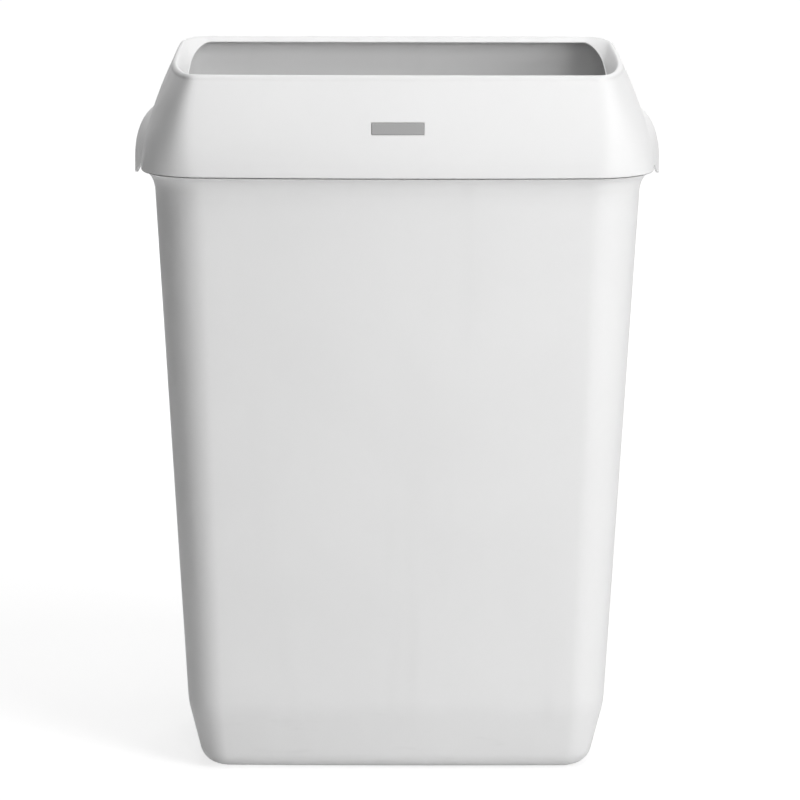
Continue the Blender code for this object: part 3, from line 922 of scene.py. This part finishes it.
def make_body():
    body = piece("moulded_body", skin_mesh("moulded_body", body_outlines(), closed=False))
    height = LEDGE_EDGE + COVE_HEIGHT + CUT_OVERRUN
    size = (CUT_OVERRUN, 2 * (GRIP_DIP_HALF_LENGTH + NOTCH_END_GAP), height)
    for side in (-1.0, 1.0):
        notch = piece("notch", box_mesh("notch", size))
        notch.location = (
            side * (BODY_TOP_HALF_WIDTH + NOTCH_STEP + CUT_OVERRUN / 2),
            GRIP_CENTRE_Y,
            LEDGE_TOP + CUT_OVERRUN / 2 - height / 2,
        )
        combine(body, "DIFFERENCE", notch)
    smooth(body)
    return body


def rib_plate(points, across_x, shift):
    """A chamfered rib. Its outline is in y and z where it is thick across x, or else in x and z."""
    middle_a = sum(p[0] for p in points) / len(points)
    middle_z = sum(p[1] for p in points) / len(points)
    face = RIB_THICKNESS / 2
    flat = face - RIB_CHAMFER
    rings = []
    for offset, drawn_in in ((-face, RIB_CHAMFER), (-flat, 0.0), (flat, 0.0), (face, RIB_CHAMFER)):
        ring = []
        for a, z in points:
            a += math.copysign(drawn_in, middle_a - a)
            z += math.copysign(drawn_in, middle_z - z)
            ring.append((offset + shift, a, z) if across_x else (a, offset + shift, z))
        rings.append(ring)
    return skin_mesh("rib", rings, closed=False)


def rib_outline(wall_at, inner):
    """The outline of a rib, from its clearance to the upstand out into the lid's wall."""
    bottom = lid_bottom() + RIB_FOOT
    top = lid_bottom() + RIB_TOP
    points = [(inner, bottom)]
    for i in range(OUTLINE_STEPS + 1):
        z = mix(bottom, top, i / OUTLINE_STEPS)
        points.append((wall_at(z) - math.copysign(LID_WALL / 2, wall_at(z)), z))
    points.append((inner, mix(bottom, top, RIB_STRAIGHT)))
    return points


def side_at(section, y):
    """Half the width of an outline at a place along its side or in its front corner."""
    fx, fy = section.corner
    plain = y - section.crown * (section.rear - y) / (section.rear - section.front)
    forward = max(section.front + fy - plain, 0.0) / fy
    x = section.half - fx + fx * (1.0 - forward**2) ** (1.0 / section.corner_power)
    return warp(section, x, plain)[0]


def rib_meshes():
    """The centring ribs: two at the front, two at the rear and two in each side."""
    upstand = body_wall(LEDGE_TOP + UPSTAND_HEIGHT)
    meshes = []
    for side in (-1.0, 1.0):
        x = side * RIB_FRONT_X
        inner = upstand.front + upstand.crown * (x / upstand.half) ** 2 - RIB_CLEARANCE
        points = rib_outline(lambda z: warp(lid_wall(z), x, lid_wall(z).front)[1], inner)
        meshes.append(rib_plate(points, True, x))
        x = side * RIB_REAR_X
        points = rib_outline(lambda z: lid_wall(z).rear, upstand.rear + RIB_CLEARANCE)
        meshes.append(rib_plate(points, True, x))
        for y in (RIB_SIDE_FRONT_Y, RIB_SIDE_REAR_Y):
            inner = side * (warp(upstand, upstand.half, y)[0] + RIB_CLEARANCE)
            points = rib_outline(lambda z: side * side_at(lid_wall(z), y), inner)
            meshes.append(rib_plate(points, False, y))
    return meshes


def badge_frame():
    """Where the plate's middle lies on the lid's front, and how far the front leans there."""
    z = lid_bottom() + BADGE_ABOVE_EDGE
    low = lid_wall(z - BADGE_HEIGHT / 2)
    high = lid_wall(z + BADGE_HEIGHT / 2)
    lean = math.atan2(high.front - low.front, BADGE_HEIGHT)
    return (0.0, (low.front + high.front) / 2, z), -lean


def make_lid():
    lid = piece("moulded_lid", skin_mesh("moulded_lid", lid_outlines(), closed=True))
    place, lean = badge_frame()
    width = BADGE_WIDTH + 2 * BADGE_SIDE_GAP
    height = BADGE_HEIGHT + 2 * BADGE_SIDE_GAP
    size = (width, 2 * BADGE_RECESS, height)
    pocket = piece("pocket", box_mesh("pocket", size))
    pocket.location = place
    pocket.rotation_euler = (lean, 0.0, 0.0)
    combine(lid, "DIFFERENCE", pocket)
    for mesh in rib_meshes():
        combine(lid, "UNION", piece("rib", mesh))
    smooth(lid)
    return lid


bpy.context.scene.view_settings.view_transform = "Standard"
make_camera()
make_world()
make_floor()
for number, (azimuth, elevation, power, side) in enumerate(STUDIO_LIGHTS, start=1):
    area_light(f"studio light {number}", azimuth, elevation, side, power)

body_white = moulded_plastic("white body plastic", BODY_FINISH)
lid_white = moulded_plastic("white lid plastic", LID_FINISH)
plate_grey = moulded_plastic("grey plate", PLATE_FINISH)

body = make_body()
body.data.materials.append(body_white)
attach(body, "bin")
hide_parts("bin_body")

lid = make_lid()
lid.data.materials.append(lid_white)
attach(lid, "lid")
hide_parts("lid_frame")

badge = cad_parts["badge_plate"].data
badge.materials.clear()
badge.materials.append(plate_grey)
